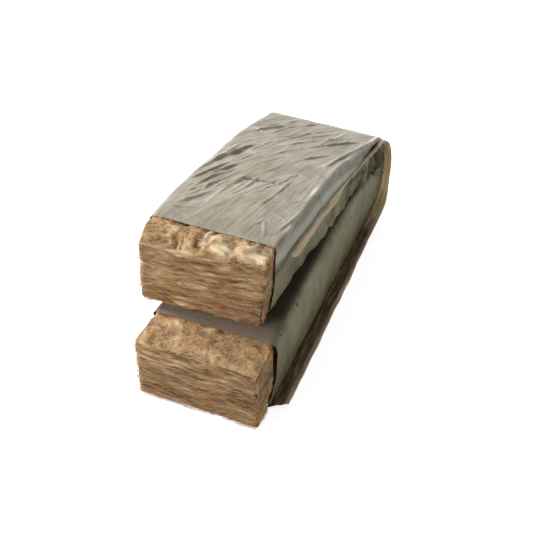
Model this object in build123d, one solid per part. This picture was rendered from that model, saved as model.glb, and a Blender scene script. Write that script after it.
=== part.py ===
from build123d import *
import os

# A poly-wrapped glass fibre batt, folded once into a U and laid on the floor.
# The open ends face -Y, the fold is at +Y, and the upper leg is set back from the lower one.
# The side view is drawn in the Y-Z plane from the lower leg's front foot, then carried across the width.

# Batt
batt_width = 381.0
leg_thickness = 203.0
leg_gap = 6.0
upper_left_rise = 20.0

# Ends of the legs
lower_end_skew = 24.0
lower_end_lean = 15.0
upper_front = 182.0
upper_front_shift = 62.0
upper_end_lean = 18.0

# Fold, where the batt is squeezed thinner
fold_reach = 1272.0
fold_foot_radius = 99.0
fold_heel = 6.0
fold_shoulder_radius = 182.0
back_slope = 16.0
back_slope_length = 712.0
squeezed_thickness = 137.0

# Crease between the legs, which rises a little and then sinks towards the fold
crease_rise = 8.0
crease_rising_length = 300.0
crease_sinking_length = 495.0
crease_end_height = 152.0

# Films, drawn thicker than the real 0.05 mm sheet
film = 1.0
clearance = 0.3
bare_lower = 90.0
bare_upper = 116.0
film_end_slant = 46.0

# Seam and stapling flange along both edges of the facing film
seam_depth = 54.0
floor_flange = 40.0
fold_flange = 27.0
hanging_flange = 26.0
hanging_flange_back = 52.0
flange_corner_radius = 12.0
flange_turn_angle = 30.0
flange_hanging_angle = 70.0
flange_joining_angle = 2.0

upper_top = 2 * leg_thickness + leg_gap
upper_flat_end = fold_reach - back_slope_length
crease_height = leg_thickness + leg_gap / 2
crease_top = crease_height + crease_rise
crease_end = fold_reach - squeezed_thickness
crease_flat_end = crease_end - crease_sinking_length
upper_turn = upper_front_shift / (crease_end - upper_front)
upper_film_front = upper_front + bare_upper
shoulder_y = fold_reach - fold_shoulder_radius
reach = 2 * fold_reach
side_skin = clearance + film
flange_inside = side_skin + clearance
flange_skin = flange_inside + film


def block(y0, y1, z0, z1):
    """A rectangle of the side view."""
    return Pos((y0 + y1) / 2, (z0 + z1) / 2) * Rectangle(y1 - y0, z1 - z0)


def rise_at(x):
    """How much higher the upper leg stands at x than at its right side."""
    return upper_left_rise * (batt_width - x) / batt_width


def shoulder_height(rise):
    """Height of the shoulder arc's centre."""
    return fold_foot_radius + fold_heel + rise


def outline(grow, rise):
    """The side view of the folded batt with its legs joined, moved outwards by grow."""
    floor_end = (fold_reach - fold_foot_radius, -grow)
    top = upper_top + grow + rise
    step = leg_thickness + grow
    upper_face = upper_front - grow
    lower_face = -2 * lower_end_lean - grow
    foot = JernArc(floor_end, (1, 0), fold_foot_radius + grow, 90)
    heel = Line(foot @ 1, (fold_reach + grow, shoulder_height(rise)))
    shoulder = JernArc(heel @ 1, (0, 1), fold_shoulder_radius + grow, 90 - back_slope)
    slope = Spline(shoulder @ 1, (upper_flat_end, top), tangents=[shoulder % 1, (-1, 0)])
    ends = Polyline(
        (upper_flat_end, top),
        (upper_face + upper_end_lean, top),
        (upper_face, step),
        (lower_face, step),
        (lower_face, -grow),
        floor_end,
    )
    return make_face(foot.edges() + heel.edges() + shoulder.edges() + slope.edges() + ends.edges())


def envelope(grow):
    """The folded batt's outside moved outwards by grow, rising towards its left side."""
    left = -batt_width / 4
    right = batt_width * 5 / 4
    sections = [Plane.YZ.offset(x) * outline(grow, rise_at(x)) for x in (left, right)]
    return loft(sections, ruled=True)


def crease_line():
    """The middle line of the gap between the legs, from past the open end to the fold."""
    front = Line((-reach, crease_height), (0, crease_height))
    rising = Spline((0, crease_height), (crease_rising_length, crease_top), tangents=[(1, 0), (1, 0)])
    level = Line((crease_rising_length, crease_top), (crease_flat_end, crease_top))
    sinking = Spline(
        (crease_flat_end, crease_top),
        (crease_end, crease_end_height),
        tangents=[(1, 0), (1, -0.25)],
    )
    return front + rising + level + sinking


def crease(width):
    """The gap between the legs, as a band of the given width."""
    return trace(crease_line(), line_width=width)


def above_crease():
    """The part of the side view that belongs to the upper leg, up to the crease's end."""
    rest = Polyline(
        (crease_end, crease_end_height),
        (crease_end, reach),
        (-reach, reach),
        (-reach, crease_height),
    )
    return make_face(crease_line().edges() + rest.edges())


def across(profile, left, right):
    """Carry a side profile across, with the upper leg turned in plan about the crease's end."""
    lower = profile - above_crease()
    upper = profile & above_crease()
    solids = []
    if lower.faces():
        solids += extrude(Plane.YZ.offset(left) * lower, amount=right - left).solids()
    if upper.faces():
        shift = upper_turn * (crease_end + reach)
        plan = make_face(Polyline(
            (left, crease_end),
            (right, crease_end),
            (right - shift, -reach),
            (left - shift, -reach),
            close=True,
        ))
        wide = extrude(Plane.YZ.offset(-reach) * upper, amount=2 * reach)
        turned = wide & extrude(Plane.XY.offset(-reach) * plan, amount=2 * reach)
        solids += turned.solids()
    return join(solids)


def join(solids):
    """Fuse a list of solids into one shape."""
    whole = solids[0]
    for solid in solids[1:]:
        whole = whole.fuse(solid)
    return whole


def trim_lower_end(shape, back, lean):
    """Cut the lower leg's open end to a slanted plane and leave the upper leg whole."""
    foot = Vector(batt_width, back, 0)
    along = Vector(-batt_width, lower_end_skew, 0)
    up = Vector(0, -lean, leg_thickness)
    plane = Plane(origin=foot, x_dir=along, z_dir=up.cross(along))
    waste = plane * Pos(0, 0, reach / 2) * Box(reach, reach, reach)
    below = extrude(Plane.YZ.offset(-reach) * (everywhere() - above_crease()), amount=2 * reach)
    return shape - (waste & below)


def everywhere():
    """A rectangle of the side view larger than the part."""
    return block(-reach, reach, -reach, reach)


def film_zone():
    """The side view's area that the films cover, behind the bare end of the upper leg."""
    ahead = make_face(Polyline(
        (-reach, 0),
        (upper_film_front - film_end_slant, 0),
        (upper_film_front - film_end_slant, crease_height),
        (upper_film_front, upper_top),
        (upper_film_front, reach),
        (-reach, reach),
        close=True,
    ))
    return everywhere() - (ahead & above_crease())


def shoulder_sector(rise, first, last):
    """The side view's area between two angles about the shoulder's centre."""
    centre = Vector(shoulder_y, shoulder_height(rise))
    rim = [centre + Vector(reach, 0).rotate(Axis.Z, angle) for angle in (first, (first + last) / 2, last)]
    return make_face(Polyline(centre, *rim, close=True))


def glass_fibre_blanket():
    """The glass fibre blanket, one piece folded into a U."""
    body = across(everywhere() - crease(leg_gap), 0, batt_width)
    return trim_lower_end(body & envelope(0), 0, lower_end_lean)


def perforated_film():
    """The side and inner film: a plate on each side, joined by the two inner faces."""
    between = crease(leg_gap - 2 * side_skin)
    plate = film_zone() - between
    inner = (crease(leg_gap - 2 * clearance) - between) & film_zone()
    inner = inner & block(0, crease_end - film, -reach, reach)
    parts = [
        across(plate, -side_skin, -clearance) & envelope(0),
        across(plate, batt_width + clearance, batt_width + side_skin) & envelope(0),
        across(inner, -side_skin, batt_width + side_skin),
    ]
    return trim_lower_end(join(parts), bare_lower, -film_end_slant)


def hanging_zone(rise):
    """The side view's area of the hanging flange, with its rounded front end."""
    front = upper_film_front + hanging_flange_back
    low = upper_top + rise - seam_depth - hanging_flange
    radius = flange_corner_radius
    corner = block(front, front + radius, 0, low + radius) - Pos(front + radius, low + radius) * Circle(radius)
    ahead = shoulder_sector(rise, flange_hanging_angle - flange_joining_angle, 180)
    return (ahead & block(front, reach, 0, reach)) - corner


def flange_section(side, angle, share):
    """A cross section of the flange on the shoulder, turned from standing out at 0 to hanging at 1."""
    edge = batt_width if side > 0 else 0
    middle = flange_inside + film / 2
    tilt = flange_joining_angle + share * (90 - 2 * flange_joining_angle)
    length = fold_flange - middle + share * (hanging_flange - fold_flange + middle)
    root = Vector(middle, clearance + film / 2 - share * (seam_depth + side_skin))
    along = Vector(length, 0).rotate(Axis.Z, -tilt)
    thick = Vector(0, film / 2).rotate(Axis.Z, -tilt)
    points = []
    for corner in (root - thick, root + along - thick, root + along + thick, root + thick):
        x = edge + side * corner.X
        radius = fold_shoulder_radius + corner.Y
        spot = Vector(shoulder_y, shoulder_height(rise_at(x))) + Vector(radius, 0).rotate(Axis.Z, angle)
        shift = upper_turn * max(crease_end - spot.X, 0)
        points.append((x - shift, spot.X, spot.Y))
    return make_face(Polyline(*points, close=True))


def turning_flange(side):
    """The length of flange that turns from standing out at the fold to hanging on the upper leg."""
    steps = 4
    sections = []
    for step in range(steps + 1):
        share = step / steps
        angle = flange_turn_angle + share * (flange_hanging_angle - flange_turn_angle)
        sections.append(flange_section(side, angle, share))
    return loft(sections, ruled=True)


def facing_film():
    """The outer film, with a flange along each edge: flat on the floor, then turning to hang."""
    outside = envelope(side_skin)
    skin = outside - envelope(clearance)
    wrap = outside - envelope(-seam_depth)
    hanging = outside - envelope(-seam_depth - hanging_flange)
    step = block(-reach, upper_film_front, leg_thickness / 2, upper_top - seam_depth - leg_thickness / 2)
    covered = film_zone() - step
    floor = block(-reach, fold_reach - fold_foot_radius, -reach, fold_foot_radius)
    parts = [
        across(covered, -flange_skin, batt_width + flange_skin) & skin,
        across(floor, -floor_flange, batt_width + floor_flange) & skin,
    ]
    for side, near, far in ((-1, -flange_skin, -flange_inside), (1, batt_width + flange_inside, batt_width + flange_skin)):
        edge = batt_width if side > 0 else 0
        rise = rise_at(edge)
        out = edge + side * fold_flange
        low = shoulder_sector(rise, -90, flange_turn_angle + flange_joining_angle)
        ahead = shoulder_sector(rise, flange_turn_angle, 180)
        parts.append(across(low, min(edge, out), max(edge, out)) & skin)
        parts.append(across(ahead & covered, near, far) & wrap)
        parts.append(across(hanging_zone(rise), near, far) & hanging)
        parts.append(turning_flange(side))
    return trim_lower_end(join(parts), bare_lower, -film_end_slant)


pieces = {
    "glass_fibre_blanket": glass_fibre_blanket(),
    "facing_film": facing_film(),
    "perforated_film": perforated_film(),
}
box = Compound([solid for piece in pieces.values() for solid in piece.solids()]).bounding_box()
to_origin = Pos(-box.center().X, -box.center().Y, -box.min.Z)

os.makedirs("parts", exist_ok=True)
for name, piece in pieces.items():
    export_step(to_origin * piece, f"parts/{name}.step")
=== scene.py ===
from math import cos, pi, radians, sin

import bpy
import numpy as np
from mathutils import Matrix, Vector


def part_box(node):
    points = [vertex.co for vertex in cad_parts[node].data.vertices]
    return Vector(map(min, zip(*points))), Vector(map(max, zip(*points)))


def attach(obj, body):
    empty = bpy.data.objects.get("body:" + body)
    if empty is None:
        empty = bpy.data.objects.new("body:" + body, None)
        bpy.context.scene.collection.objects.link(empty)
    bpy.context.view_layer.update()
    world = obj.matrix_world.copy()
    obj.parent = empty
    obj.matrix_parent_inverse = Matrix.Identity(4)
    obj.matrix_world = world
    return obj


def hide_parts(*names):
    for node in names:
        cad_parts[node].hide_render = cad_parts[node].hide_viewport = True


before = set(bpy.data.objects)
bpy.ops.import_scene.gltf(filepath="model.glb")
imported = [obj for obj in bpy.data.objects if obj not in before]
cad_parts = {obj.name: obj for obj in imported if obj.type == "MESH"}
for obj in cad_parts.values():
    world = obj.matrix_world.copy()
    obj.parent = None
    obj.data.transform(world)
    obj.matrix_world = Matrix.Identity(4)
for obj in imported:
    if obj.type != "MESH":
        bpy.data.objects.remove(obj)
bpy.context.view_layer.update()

# Sizes of the folded batt, in metres, measured from the lower leg's front foot
WIDTH = 0.381
LEG = 0.203
LEG_GAP = 0.006
END_SKEW = 0.024
END_LEAN = 0.015
UPPER_FRONT = 0.182
UPPER_SHIFT = 0.062
FOLD_REACH = 1.272
FOOT_RADIUS = 0.099
HEEL = 0.006
SHOULDER_RADIUS = 0.182
BACK_SLOPE = radians(16)
UPPER_FLAT_END = 0.560
CREASE_FLAT_END = 0.640
CREASE_END = 1.135
CREASE_END_HEIGHT = 0.152
BARE_LOWER = 0.104
BARE_UPPER = 0.116
TOP = 2 * LEG + LEG_GAP
CREASE_HEIGHT = LEG + LEG_GAP / 2

# How the soft batt departs from its straight sides
LEFT_RISE = 0.020
LEFT_BULGE = 0.012
LEFT_SINK = 0.011
LOWER_FOOT_SPREAD = 0.008
CREASE_RISE = 0.008
UPPER_LEAN = 0.018
UPPER_NOSE_DIP = 0.009
UPPER_END_LEFT = 0.005
UPPER_END_RIGHT = 0.011

# Where the lower leg's front left foot lies in the row frame
fibre_low, fibre_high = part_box("glass_fibre_blanket")
ORIGIN = np.array([fibre_high.x - WIDTH, fibre_high.y - FOLD_REACH, fibre_low.z])


# Noise

def lattice(ix, iy, iz, seed):
    """A repeatable random number from 0 to 1 for each lattice point."""
    h = ix * 374761393 + iy * 668265263 + iz * 1274126177 + seed * 974634777
    h = (h ^ (h >> 13)) & 0x7FFFFFFF
    h = (h * 1103515245 + 12345) & 0x7FFFFFFF
    h = ((h ^ (h >> 15)) * 69069 + 1) & 0x7FFFFFFF
    return (h ^ (h >> 11)) / 0x7FFFFFFF


def noise(x, y, z=0.0, *, seed):
    """Smooth value noise from -1 to 1 at each point."""
    x, y, z = np.broadcast_arrays(np.asarray(x, float), np.asarray(y, float), np.asarray(z, float))
    cell = [np.floor(a).astype(np.int64) for a in (x, y, z)]
    part = [a - c for a, c in zip((x, y, z), cell)]
    fade = [p * p * p * (p * (p * 6 - 15) + 10) for p in part]
    total = 0.0
    for i in (0, 1):
        for j in (0, 1):
            for k in (0, 1):
                weight = (fade[0] if i else 1 - fade[0]) * (fade[1] if j else 1 - fade[1])
                weight = weight * (fade[2] if k else 1 - fade[2])
                total = total + weight * lattice(cell[0] + i, cell[1] + j, cell[2] + k, seed)
    return total * 2 - 1


def fractal(x, y, z, octaves, seed, gain=0.5):
    """Noise summed over octaves, from about -1 to 1."""
    total, size, reach = 0.0, 1.0, 0.0
    for octave in range(octaves):
        scale = 2.03 ** octave
        value = noise(x * scale + octave * 7.3, y * scale - octave * 3.1, z * scale, seed=seed + octave)
        total = total + size * value
        reach += size
        size *= gain
    return total / reach


def creases(x, y, octaves, seed, sharp=2.0):
    """Ridges from 0 to 1, as in crushed film."""
    total, size, reach = 0.0, 1.0, 0.0
    for octave in range(octaves):
        scale = 1.9 ** octave
        value = noise(x * scale + octave * 5.7, y * scale + octave * 9.1, 0.37, seed=seed + octave)
        total = total + size * np.clip(1 - np.abs(value) * 2, 0, 1) ** sharp
        reach += size
        size *= 0.55
    return total / reach


def step(x, low, high):
    """0 below low, 1 above high, smooth between."""
    t = np.clip((x - low) / (high - low), 0, 1)
    return t * t * (3 - 2 * t)


def fall(x, low, high):
    """1 below low, 0 above high, smooth between."""
    return 1 - step(x, low, high)


def hump(x, middle, width):
    """1 at the middle, falling off smoothly on both sides."""
    return np.exp(-((x - middle) / width) ** 2)


# Side view of the fold

FLOOR_POINTS = 500
FOOT_POINTS = 90
SHOULDER_POINTS = 120
SLOPE_POINTS = 300
TOP_POINTS = 180


def hermite(start, start_way, end, end_way, t):
    """A cubic from start to end that leaves and arrives along the given ways."""
    t = t[:, None]
    start, end, start_way, end_way = (np.array(a, float) for a in (start, end, start_way, end_way))
    return ((2 * t**3 - 3 * t**2 + 1) * start + (t**3 - 2 * t**2 + t) * start_way
            + (-2 * t**3 + 3 * t**2) * end + (t**3 - t**2) * end_way)


def arc(centre, radius, first, last, count):
    """Points of an arc of the side view, in (y, z)."""
    angles = np.linspace(first, last, count)
    return np.stack([centre[0] + radius * np.cos(angles), centre[1] + radius * np.sin(angles)], 1)


def outer_line():
    """The outside of the U from the lower leg's front to the upper leg's front, in (y, z)."""
    foot_centre = (FOLD_REACH - FOOT_RADIUS, FOOT_RADIUS)
    shoulder_centre = (FOLD_REACH - SHOULDER_RADIUS, FOOT_RADIUS + HEEL)
    floor = np.stack([np.linspace(0, foot_centre[0], FLOOR_POINTS), np.zeros(FLOOR_POINTS)], 1)
    foot = arc(foot_centre, FOOT_RADIUS, -pi / 2, 0, FOOT_POINTS)
    shoulder = arc(shoulder_centre, SHOULDER_RADIUS, 0, pi / 2 - BACK_SLOPE, SHOULDER_POINTS)
    slope_start = shoulder[-1]
    slope_end = np.array([UPPER_FLAT_END, TOP])
    chord = np.linalg.norm(slope_end - slope_start)
    way = np.array([-cos(BACK_SLOPE), sin(BACK_SLOPE)]) * chord
    slope = hermite(slope_start, way, slope_end, (-chord, 0), np.linspace(0, 1, SLOPE_POINTS))
    top = np.stack([np.linspace(UPPER_FLAT_END, UPPER_FRONT, TOP_POINTS), np.full(TOP_POINTS, TOP)], 1)
    return np.concatenate([floor, foot[1:], shoulder[1:], slope[1:], top[1:]])


def crease_height(y):
    """Height of the middle of the gap between the legs."""
    t = np.clip((y - CREASE_FLAT_END) / (CREASE_END - CREASE_FLAT_END), 0, 1)
    start = np.array([CREASE_FLAT_END, CREASE_HEIGHT + CREASE_RISE])
    end = np.array([CREASE_END, CREASE_END_HEIGHT])
    run = CREASE_END - CREASE_FLAT_END
    sinking = hermite(start, (run, 0), end, (run, -0.25 * run), t)[:, 1]
    return sinking - CREASE_RISE * fall(y, 0.0, 0.30)


outer = outer_line()
along = np.concatenate([[0], np.cumsum(np.linalg.norm(np.diff(outer, axis=0), axis=1))])
LENGTH = along[-1]
fold_points = np.nonzero(outer[:, 0] >= CREASE_END)[0]
FOLD_START = along[fold_points[0]]
FOLD_STOP = along[fold_points[-1]]
FOLD_MIDDLE = (FOLD_START + FOLD_STOP) / 2
FILM_STOP = LENGTH - BARE_UPPER
HEEL_START = FOLD_REACH - FOOT_RADIUS + FOOT_RADIUS * pi / 2
VISIBLE_GAP = 0.003


def inner_line():
    """The inside of the U at the same stations as the outer line, in (y, z)."""
    middle = crease_height(outer[:, 0])
    turn = np.clip((along - FOLD_START) / (FOLD_STOP - FOLD_START), 0, 1) * pi
    height = np.where(turn > 0, CREASE_END_HEIGHT, middle) - np.cos(turn) * VISIBLE_GAP / 2
    height = np.where(turn >= pi, middle + VISIBLE_GAP / 2, height)
    back = np.where((turn > 0) & (turn < pi), CREASE_END + np.sin(turn) * VISIBLE_GAP / 2, outer[:, 0])
    return np.stack([back, height], 1)


inner = inner_line()
depths = np.linalg.norm(inner - outer, axis=1)


def depth_at(s):
    """Thickness of the folded strip at each station."""
    return np.interp(s, along, depths)


def place(s, u, t):
    """Points in the row frame of the strip at station s, u across from the left, t in from the outside."""
    s, u, t = np.broadcast_arrays(np.asarray(s, float), np.asarray(u, float), np.asarray(t, float))
    inside = np.clip(s, 0, LENGTH)
    out = [np.interp(inside, along, outer[:, i]) for i in (0, 1)]
    inn = [np.interp(inside, along, inner[:, i]) for i in (0, 1)]
    share = t / depth_at(inside)
    y = out[0] + (inn[0] - out[0]) * share
    z = out[1] + (inn[1] - out[1]) * share
    y = y + np.where(s < 0, s, 0) - np.where(s > LENGTH, s - LENGTH, 0)
    skew = END_SKEW * (1 - u / WIDTH) * fall(s, 0.15, 0.5)
    lean = LOWER_FOOT_SPREAD + (END_LEAN - LOWER_FOOT_SPREAD) * np.clip(z / LEG, 0, 1)
    y = y + skew - lean * fall(s, 0.0, 0.12)
    upper = s > FOLD_MIDDLE
    rate = UPPER_SHIFT / (CREASE_END - UPPER_FRONT)
    shift = np.where(upper, rate * np.maximum(CREASE_END - y, 0), 0)
    end = fall(LENGTH - s, 0.0, 0.12)
    outside = np.clip(1 - share, 0, 1)
    leftness = 1 - u / WIDTH
    past_heel = step(s, HEEL_START - 0.06, HEEL_START + 0.12)
    past_fold = step(s, FOLD_STOP - 0.30, FOLD_STOP)
    sink = hump(LENGTH - s, 0.52, 0.20)
    rise = LEFT_RISE * (leftness + shift / WIDTH) * past_heel * (1 - 0.6 * end) - LEFT_SINK * sink * leftness
    dip = UPPER_NOSE_DIP * fall(LENGTH - s, 0.0, 0.05)
    z = z + (rise - dip) * outside
    y = y + UPPER_LEAN * outside * end
    bulge = LEFT_BULGE * leftness ** 2 * past_fold * (1 - 0.6 * end) * (1 - 1.3 * sink)
    moved = UPPER_END_LEFT * (2 - outside) * leftness ** 2 + UPPER_END_RIGHT * outside * (1 - leftness) ** 2
    return np.stack([u - shift - bulge + moved * end, y, z], -1) + ORIGIN


# Mesh building

def surface_normals(points):
    """Unit normals of a grid of points."""
    down = np.gradient(points, axis=0)
    right = np.gradient(points, axis=1)
    normals = np.cross(down, right)
    return normals / np.maximum(np.linalg.norm(normals, axis=-1, keepdims=True), 1e-12)


def grid_faces(rows, columns, wrap=False):
    """Quads of a grid of vertices, numbered row by row."""
    last = columns if wrap else columns - 1
    i, j = np.meshgrid(np.arange(rows - 1), np.arange(last), indexing="ij")
    right = (j + 1) % columns
    near, far = i * columns, (i + 1) * columns
    return np.stack([near + j, near + right, far + right, far + j], -1).reshape(-1, 4)


def make_mesh(name, points, faces, attributes):
    """A smooth mesh object from arrays of points and quads, with named attributes on its points."""
    mesh = bpy.data.meshes.new(name)
    points = np.ascontiguousarray(points, np.float32).reshape(-1, 3)
    faces = np.ascontiguousarray(faces, np.int32)
    sides = faces.shape[1]
    mesh.vertices.add(len(points))
    mesh.vertices.foreach_set("co", points.ravel())
    mesh.loops.add(faces.size)
    mesh.loops.foreach_set("vertex_index", faces.ravel())
    mesh.polygons.add(len(faces))
    mesh.polygons.foreach_set("loop_start", np.arange(0, faces.size, sides, dtype=np.int32))
    mesh.polygons.foreach_set("loop_total", np.full(len(faces), sides, np.int32))
    mesh.polygons.foreach_set("use_smooth", np.full(len(faces), True))
    for key, values in attributes:
        values = np.ascontiguousarray(values, np.float32)
        vector = values.ndim > 1 and values.shape[-1] == 3
        layer = mesh.attributes.new(key, "FLOAT_VECTOR" if vector else "FLOAT", "POINT")
        layer.data.foreach_set("vector" if vector else "value", values.reshape(-1))
    mesh.update(calc_edges=True)
    mesh.validate()
    piece = bpy.data.objects.new(name, mesh)
    bpy.context.scene.collection.objects.link(piece)
    return piece


# Camera at the photograph's viewing angle

CAMERA_PLACE = (1.2461, -2.2984, 2.5394)
CAMERA_YAW = radians(19.94)
CAMERA_PITCH = radians(38.68)
CAMERA_ROLL = radians(0.21)
CAMERA_LENS = 81.79
CAMERA_SENSOR = 36
CAMERA_REACH = 50


def make_camera():
    """The camera, placed from the lower leg's front foot."""
    flat = cos(CAMERA_PITCH)
    forward = Vector((-sin(CAMERA_YAW) * flat, cos(CAMERA_YAW) * flat, -sin(CAMERA_PITCH)))
    level = Vector((cos(CAMERA_YAW), sin(CAMERA_YAW), 0))
    upright = level.cross(forward)
    right = level * cos(CAMERA_ROLL) + upright * sin(CAMERA_ROLL)
    up = upright * cos(CAMERA_ROLL) - level * sin(CAMERA_ROLL)
    data = bpy.data.cameras.new("camera")
    data.lens = CAMERA_LENS
    data.sensor_width = CAMERA_SENSOR
    data.clip_end = CAMERA_REACH
    camera = bpy.data.objects.new("camera", data)
    turn = Matrix((right, up, -forward)).transposed().to_4x4()
    spot = Vector(CAMERA_PLACE) + Vector((ORIGIN[0], ORIGIN[1], 0))
    camera.matrix_world = Matrix.Translation(spot) @ turn
    bpy.context.scene.collection.objects.link(camera)
    bpy.context.scene.camera = camera


# Glass fibre blanket

BLANKET_ACROSS = 170
BLANKET_DEEP = 90
END_STEP = 0.0028
BARE_CORNER = 0.007
COVERED_CORNER = 0.026
TUCK_UNDER_FILM = 0.009
SIDE_SLOT = 0.013
END_PUFF = 0.007
TUFT_HEIGHT = 0.006
LAYER_TILT = 0.05
EDGE_BAND = 0.012

# Pale tufts on the top of the upper leg: across from the left, back from its front, radius and paleness
TUFTS = (
    (0.318, 0.046, 0.038, 1.0),
    (0.352, 0.030, 0.026, 0.9),
    (0.352, 0.068, 0.018, 0.55),
    (0.205, 0.074, 0.026, 0.85),
    (0.236, 0.036, 0.030, 0.95),
    (0.196, 0.044, 0.020, 0.6),
    (0.272, 0.030, 0.018, 0.5),
    (0.285, 0.090, 0.022, 0.40),
    (0.090, 0.088, 0.026, 0.35),
)


def lower_film_edge(t):
    """Station where the films begin on the lower leg: early at the floor, later up the side and on top."""
    up = np.clip(t / LEG, 0, 1)
    return BARE_LOWER - 0.014 + 0.054 * step(up, 0.04, 0.46) - 0.022 * step(up, 0.72, 1.0)


def upper_film_edge(t):
    """Station where the films end on the upper leg: further forward down the side."""
    down = np.clip(t / LEG, 0, 1)
    return FILM_STOP + 0.004 + 0.016 * step(down, 0.0, 0.2) + 0.040 * step(down, 0.4, 1.05)


def section_ring(columns, rows):
    """Grid places round the edge of a section, in order: outside, right, inside, left."""
    ring = [(i, 0) for i in range(columns)]
    ring += [(columns, j) for j in range(rows)]
    ring += [(columns - i, rows) for i in range(columns)]
    ring += [(0, rows - j) for j in range(rows)]
    return np.array(ring)


def rounded(a, b, width, height, radius):
    """Pull a point of a rectangle's grid in at the corners, so that they are round."""
    half_w, half_h = width / 2, height / 2
    x, y = a - half_w, b - half_h
    over_x = np.maximum(np.abs(x) - (half_w - radius), 0)
    over_y = np.maximum(np.abs(y) - (half_h - radius), 0)
    length = np.maximum(np.hypot(over_x, over_y), 1e-9)
    scale = np.maximum(over_x, over_y) / length
    x = np.where(over_x > 0, np.sign(x) * (half_w - radius + over_x * scale), x)
    y = np.where(over_y > 0, np.sign(y) * (half_h - radius + over_y * scale), y)
    return x + half_w, y + half_h


def layer_sway(s, u, t):
    """How far the blanket's layers wander through its thickness."""
    broad = 0.017 * fractal(s * 5, u * 6, t * 9, 3, seed=11)
    return broad + 0.003 * noise(s * 20, u * 21, t * 20, seed=16)


def layer_level(s, u, t):
    """Depth measured across the blanket's wandering, slightly tilted layers."""
    return t + layer_sway(s, u, t) + LAYER_TILT * (u - WIDTH / 2)


def slanted(s, u):
    """Coordinates turned by 35 degrees, so that the curled locks don't follow the blanket's edges."""
    return 0.82 * s - 0.57 * u, 0.57 * s + 0.82 * u


def lamination(s, u, t):
    """The blanket's layering: long in the batt's plane, thin through its thickness, from -1 to 1."""
    level = layer_level(s, u, t)
    coarse = fractal(s * 15, u * 15, level * 84, 2, seed=12)
    fine = fractal(s * 32, u * 30, level * 200, 2, seed=14, gain=0.6)
    broad = noise(s * 6, u * 6, level * 30, seed=15)
    return 0.50 * coarse + 0.30 * fine + 0.30 * broad


def wool(s, u, t):
    """Curled locks of loose fibre on the blanket's faces, from -1 to 1."""
    a, b = slanted(s, u)
    warp_a = 0.045 * fractal(a * 12, b * 12, t * 18, 2, seed=21)
    warp_b = 0.045 * fractal(a * 12, b * 12, t * 18, 2, seed=22)
    return fractal((a + warp_a) * 38, (b + warp_b) * 38, t * 42, 3, seed=23)


def tuft(s, u):
    """Paleness from 0 to 1 of the tufts on the upper leg's top."""
    total = 0.0
    ragged = 0.010 * fractal(s * 40, u * 40, 0, 2, seed=25)
    for across, back, radius, pale in TUFTS:
        away = np.hypot((u - across) * 0.8, LENGTH - s - back) + ragged
        total = np.maximum(total, pale * fall(away, radius * 0.25, radius * 1.25))
    return total


def bareness(s, t, first, last):
    """1 on the bare fibre, falling to 0 between two distances in from the film's front edges."""
    low, high = lower_film_edge(t), upper_film_edge(t)
    return np.maximum(fall(s, low + first, low + last), step(s, high - last, high - first))


def face_shares(u, t, deep):
    """How much a point belongs to the side faces and to the outer or inner faces."""
    side = fall(np.minimum(u, WIDTH - u), 0.0, EDGE_BAND)
    flat = fall(np.minimum(t, deep - t), 0.0, EDGE_BAND)
    return side, flat * (1 - side)


def fibre_relief(s, u, t, flat):
    """How far the fibre stands proud of its mean face, in metres."""
    layers = lamination(s, u, t)
    layered = 0.0062 * layers - 0.0030 * step(-layers, 0.10, 0.45)
    curled = 0.0075 * wool(s, u, t)
    return layered * (1 - flat) + (curled + 0.2 * layered) * flat


def fibre_tone(s, u, t, flat):
    """Lightness of the fibre from 0, dark, to 1, pale."""
    level = layer_level(s, u, t)
    streaks = fractal(s * 16, u * 15, level * 150, 3, seed=61, gain=0.65)
    patches = fractal(s * 15, u * 14, level * 30, 2, seed=64)
    a, b = slanted(s, u)
    warp = 0.040 * fractal(a * 13, b * 13, 0, 2, seed=66)
    curls = creases((a + warp) * 27, (b - warp) * 27, 3, seed=67, sharp=1.5) * 1.6 - 0.75
    clouds = fractal(a * 20, b * 15, 0, 3, seed=68)
    layered = 0.45 + 0.62 * streaks + 0.28 * patches + 0.30 * lamination(s, u, t)
    open_face = 0.60 + 0.24 * curls + 0.42 * clouds + 0.22 * wool(s, u, t)
    return layered * (1 - flat) + open_face * flat


def blanket_stations():
    """Stations along the blanket, close together at the bare ends."""
    near = np.arange(0, BARE_LOWER + 0.05, END_STEP)
    far = np.arange(FILM_STOP - 0.015, LENGTH, END_STEP)
    floor = np.linspace(near[-1], FOLD_START, 5)[1:-1]
    fold = np.linspace(FOLD_START, FOLD_STOP + 0.04, 18)
    over = np.linspace(fold[-1], far[0], 7)[1:-1]
    return np.concatenate([near, floor, fold, over, far, [LENGTH]])


def slot_depth(s, u, t, deep):
    """How far the bare sides sink towards the film's front edge, which leaves a dark slot."""
    low, high = lower_film_edge(t), upper_film_edge(t)
    near_film = np.maximum(step(s, low - 0.030, low - 0.004) * (s < FOLD_MIDDLE),
                           step(high - s, -0.030, -0.004) * (s > FOLD_MIDDLE))
    side, flat = face_shares(u, t, deep)
    return near_film * (SIDE_SLOT * side + 0.25 * SIDE_SLOT * flat)


def cap_points(station, way):
    """The inside points of an end face: grid numbers, strip coordinates, how proud they stand, places."""
    i, j = np.meshgrid(np.arange(1, BLANKET_ACROSS), np.arange(1, BLANKET_DEEP), indexing="ij")
    thick = depth_at(station)
    u, t = rounded(i / BLANKET_ACROSS * WIDTH, j / BLANKET_DEEP * thick, WIDTH, thick, BARE_CORNER)
    edge = np.minimum(np.minimum(u, WIDTH - u), np.minimum(t, thick - t))
    relief = fibre_relief(station, u, t, 0.0)
    groove = hump(t if way > 0 else thick - t, 0.020, 0.006) * step(noise(u * 16, 0.5, seed=26), -0.4, 0.3)
    proud = 1.5 * relief * step(edge, 0, 0.004) + END_PUFF * step(edge, 0, 0.016) - 0.006 * groove
    return i, j, u, t, proud, place(station + way * proud, u, t)


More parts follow.
